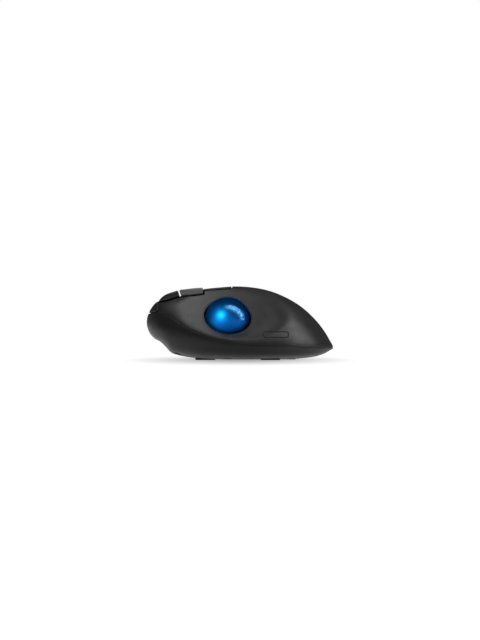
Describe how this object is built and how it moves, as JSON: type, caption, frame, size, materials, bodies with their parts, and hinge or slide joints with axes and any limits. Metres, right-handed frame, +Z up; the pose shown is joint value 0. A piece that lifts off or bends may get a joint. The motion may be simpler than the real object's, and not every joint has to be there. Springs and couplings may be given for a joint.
{
  "type": "trackball mouse",
  "caption": "right-handed wireless trackball mouse with a thumb ball in its left side, click panels, side buttons and a scroll wheel",
  "frame": {"origin": "on the table, under the middle of the mouse's length and width", "axes": "+Y to the front, where the buttons are, +X to the user's right, +Z up"},
  "size_m": [0.0933, 0.1358, 0.0535],
  "materials": {
    "base_plastic": "fine matte",
    "shell_plastic": "soft-touch matte",
    "button_plastic": "fine matte",
    "forward_plastic": "satin",
    "back_plastic": "satin",
    "gloss_trim": "polished",
    "badge_plastic": "satin, blank",
    "socket_plastic": "polished",
    "inner_plastic": "moulded",
    "switch_plastic": "moulded",
    "hub_plastic": "satin",
    "slider_plastic": "satin",
    "pairing_plastic": "satin",
    "clear_plastic": "clear",
    "ball_clear": "polished clear resin",
    "ball_pearl": "pearl blue",
    "bearing_ceramic": "polished",
    "tyre_rubber": "ribbed",
    "foot_rubber": "smooth",
    "steel": "brushed",
    "contact_metal": "plated",
    "receiver_metal": "brushed",
    "circuit_board": "solder mask",
    "chip": "moulded",
    "ribbon": "film",
    "battery_sleeve": "satin sleeve"
  },
  "bodies": {
    "case": {"base_shell": "base_plastic", "top_shell": "shell_plastic", "center_strip": "gloss_trim", "left_hinge_rod": "steel", "right_hinge_rod": "steel", "side_button_bracket": "inner_plastic", "side_switches": "switch_plastic", "dpi_switch": "switch_plastic", "light_pipe": "clear_plastic", "carrier_pin": "steel", "carrier_bracket": "inner_plastic", "wheel_encoder": "switch_plastic", "wheel_switch": "switch_plastic", "click_switches": "switch_plastic", "ball_socket": "socket_plastic", "socket_bearings": "bearing_ceramic", "sensor_lens": "clear_plastic", "sensor_chip": "chip", "sensor_board": "circuit_board", "main_board": "circuit_board", "control_chip": "chip", "button_board": "circuit_board", "board_frame": "inner_plastic", "ribbon_cable": "ribbon", "frame_screws": "steel", "battery_cell": "battery_sleeve", "battery_contact": "contact_metal", "battery_spring": "contact_metal", "usb_receiver": "receiver_metal", "switch_board": "circuit_board", "power_switch": "switch_plastic", "pairing_switch": "switch_plastic", "case_screws": "steel", "feet": "foot_rubber", "badge_plate": "badge_plastic"},
    "left_button": {"left_button": "button_plastic"},
    "right_button": {"right_button": "button_plastic"},
    "forward_button": {"forward_button": "forward_plastic"},
    "back_button": {"back_button": "back_plastic"},
    "dpi_button": {"dpi_button": "back_plastic"},
    "wheel_carrier": {"wheel_carrier": "inner_plastic", "wheel_axle": "steel"},
    "scroll_wheel": {"wheel_hub": "hub_plastic", "wheel_tyre": "tyre_rubber"},
    "ball_outer": {"ball_coat": "ball_clear"},
    "ball_inner": {"ball_core": "ball_pearl"},
    "battery_door": {"battery_door": "base_plastic"},
    "power_slider": {"power_slider": "slider_plastic"},
    "pairing_button": {"pairing_button": "pairing_plastic"}
  },
  "joints": [
    {"name": "left_click", "type": "hinge", "parent": "case", "child": "left_button", "pos_m": [0.002, 0.009, 0.047], "axis": [-1, 0, 0], "range_deg": [0, 0.5], "stiffness_Nm_per_rad": 1.6},
    {"name": "right_click", "type": "hinge", "parent": "case", "child": "right_button", "pos_m": [0.028, 0.009, 0.031], "axis": [-1, 0, 0], "range_deg": [0, 0.5], "stiffness_Nm_per_rad": 1.6},
    {"name": "forward_press", "type": "slide", "parent": "case", "child": "forward_button", "axis": [0, 0, -1], "range_m": [0, 0.0006], "stiffness_N_per_m": 2500},
    {"name": "back_press", "type": "slide", "parent": "case", "child": "back_button", "axis": [0, 0, -1], "range_m": [0, 0.0006], "stiffness_N_per_m": 2500},
    {"name": "dpi_press", "type": "slide", "parent": "case", "child": "dpi_button", "axis": [-0.309, 0, -0.9511], "range_m": [0, 0.0005], "stiffness_N_per_m": 2000},
    {"name": "wheel_click", "type": "hinge", "parent": "case", "child": "wheel_carrier", "pos_m": [0.01229, 0.018, 0.03188], "axis": [-0.9511, 0, 0.309], "range_deg": [0, 2], "stiffness_Nm_per_rad": 1.2},
    {"name": "wheel_spin", "type": "hinge", "parent": "wheel_carrier", "child": "scroll_wheel", "pos_m": [0.01353, 0.034, 0.03569], "axis": [0.9511, 0, -0.309], "continuous": true},
    {"name": "ball_roll_up", "type": "hinge", "parent": "case", "child": "ball_outer", "pos_m": [-0.027, 0.0092, 0.0296], "axis": [-0.1392, 0.9903, 0], "continuous": true},
    {"name": "ball_roll_across", "type": "hinge", "parent": "ball_outer", "child": "ball_inner", "pos_m": [-0.027, 0.0092, 0.0296], "axis": [0.7002, 0.0984, 0.7071], "continuous": true},
    {"name": "battery_door_slide", "type": "slide", "parent": "case", "child": "battery_door", "axis": [0, -1, 0], "range_m": [0, 0.0035]},
    {"name": "power_slide", "type": "slide", "parent": "case", "child": "power_slider", "axis": [0, 1, 0], "range_m": [0, 0.003]},
    {"name": "pairing_press", "type": "slide", "parent": "case", "child": "pairing_button", "axis": [0, 0, 1], "range_m": [0, 0.0005], "stiffness_N_per_m": 2000}
  ]
}
